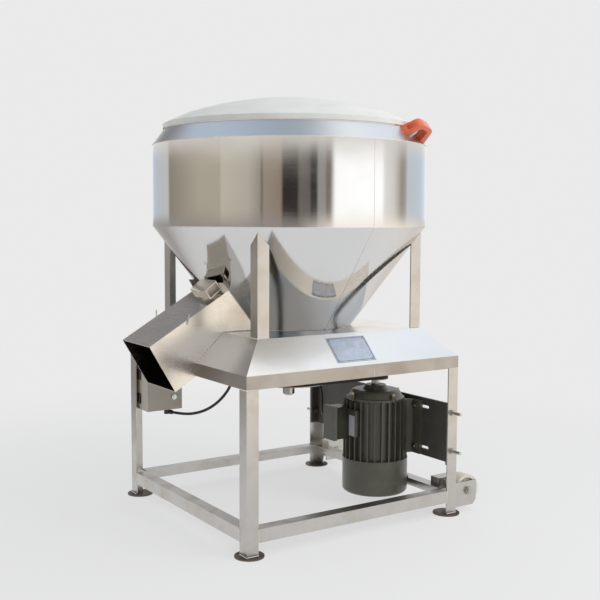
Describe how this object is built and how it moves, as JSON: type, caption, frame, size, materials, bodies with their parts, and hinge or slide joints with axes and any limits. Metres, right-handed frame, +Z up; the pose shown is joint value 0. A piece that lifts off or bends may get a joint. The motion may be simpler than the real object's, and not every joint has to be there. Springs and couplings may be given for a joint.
{
  "type": "feed mixer",
  "caption": "Free-standing vertical feed mixer: conical steel tank with inner auger, sloping gated chute, belt drive and square frame with transport wheels.",
  "frame": {"origin": "on the floor, below the middle of the whole mixer's box", "axes": "+Z up; +X from the chute towards the motor plate and wheels; +Y to the control box"},
  "size_m": [1.0624, 0.9, 1.3625],
  "materials": {
    "stainless_angle": "satin, pickled beside the welds",
    "stainless_sheet": "bright rolled sheet",
    "lid_plastic": "moulded, fine grain",
    "handle_plastic": "moulded, glossy",
    "motor_paint": "sprayed enamel over castings",
    "plate_paint": "dark primer",
    "black_plastic": "moulded",
    "belt_rubber": "cloth-faced rubber",
    "cable_rubber": "smooth",
    "pulley_iron": "turned and cast",
    "bearing_iron": "painted casting",
    "shaft_steel": "turned",
    "wheel_nylon": "cast nylon",
    "plate_alloy": "satin sheet",
    "bolt_zinc": "zinc plated",
    "panel_paint": "fine texture",
    "lock_chrome": "polished"
  },
  "bodies": {
    "root": {"axle_bolts": "bolt_zinc", "bag_pegs": "stainless_sheet", "base_hood": "stainless_sheet", "bearing_bolts": "bolt_zinc", "bearing_housing_lower": "bearing_iron", "bearing_housing_upper": "bearing_iron", "chute": "stainless_sheet", "contactor": "black_plastic", "control_box": "panel_paint", "cross_beam": "stainless_angle", "door_hinges": "black_plastic", "foot_plates": "stainless_angle", "gate_guides": "stainless_sheet", "information_plate": "plate_alloy", "leg_front_left": "stainless_angle", "leg_front_right": "stainless_angle", "leg_rear_left": "stainless_angle", "leg_rear_right": "stainless_angle", "lower_rail_front": "stainless_angle", "lower_rail_left": "stainless_angle", "lower_rail_rear": "stainless_angle", "lower_rail_right": "stainless_angle", "motor_cable": "cable_rubber", "motor_end_bell": "motor_paint", "motor_fan_cowl": "motor_paint", "motor_plate": "plate_paint", "motor_plate_bolts": "bolt_zinc", "motor_stator": "motor_paint", "mouth_rim": "stainless_sheet", "panel_gland": "black_plastic", "ring_front": "stainless_angle", "ring_left": "stainless_angle", "ring_rear": "stainless_angle", "ring_right": "stainless_angle", "riser_arms": "stainless_sheet", "riser_tube": "stainless_sheet", "support_posts": "stainless_angle", "tank_cone": "stainless_sheet", "tank_drum": "stainless_sheet", "tank_floor": "stainless_sheet", "tank_shoulder": "stainless_sheet", "terminal_box": "motor_paint", "terminal_gland": "black_plastic", "tilt_handle_front": "handle_plastic", "tilt_handle_rear": "handle_plastic", "v_belts": "belt_rubber", "wheel_bracket_front": "stainless_angle", "wheel_bracket_rear": "stainless_angle"},
    "main_rotor": {"main_shaft": "shaft_steel", "auger": "stainless_sheet", "main_pulley": "pulley_iron"},
    "motor_spindle": {"motor_rotor": "shaft_steel", "motor_pulley": "pulley_iron", "motor_fan": "black_plastic"},
    "lid": {"lid": "lid_plastic"},
    "gate": {"slide_gate": "stainless_sheet"},
    "panel_door": {"control_box_door": "panel_paint"},
    "lock": {"door_lock": "lock_chrome"},
    "front_wheel": {"wheel_front": "wheel_nylon"},
    "rear_wheel": {"wheel_rear": "wheel_nylon"}
  },
  "joints": [
    {"name": "main_spin", "type": "hinge", "parent": "root", "child": "main_rotor", "pos_m": [0.02575, 0, 0.445], "axis": [0, 0, 1], "continuous": true},
    {"name": "motor_spin", "type": "hinge", "parent": "root", "child": "motor_spindle", "pos_m": [0.30175, -0.124, 0.445], "axis": [0, 0, 1], "continuous": true},
    {"name": "lid_lift", "type": "slide", "parent": "root", "child": "lid", "axis": [0, 0, 1], "range_m": [0, 0.35]},
    {"name": "gate_slide", "type": "slide", "parent": "root", "child": "gate", "axis": [-0.5949, 0, 0.8038], "range_m": [0, 0.15]},
    {"name": "panel_hinge", "type": "hinge", "parent": "root", "child": "panel_door", "pos_m": [-0.36205, 0.352, 0.386], "axis": [0, 0, -1], "range_deg": [0, 105]},
    {"name": "lock_turn", "type": "hinge", "parent": "panel_door", "child": "lock", "pos_m": [-0.26025, 0.296, 0.35], "axis": [0, -1, 0], "range_deg": [0, 90]},
    {"name": "front_wheel_spin", "type": "hinge", "parent": "root", "child": "front_wheel", "pos_m": [0.47975, -0.37, 0.07], "axis": [0, 1, 0], "continuous": true},
    {"name": "rear_wheel_spin", "type": "hinge", "parent": "root", "child": "rear_wheel", "pos_m": [0.47975, 0.37, 0.07], "axis": [0, 1, 0], "continuous": true}
  ],
  "couplings": [
    {"joint": "motor_spin", "follows": "main_spin", "ratio": 3.4884}
  ]
}
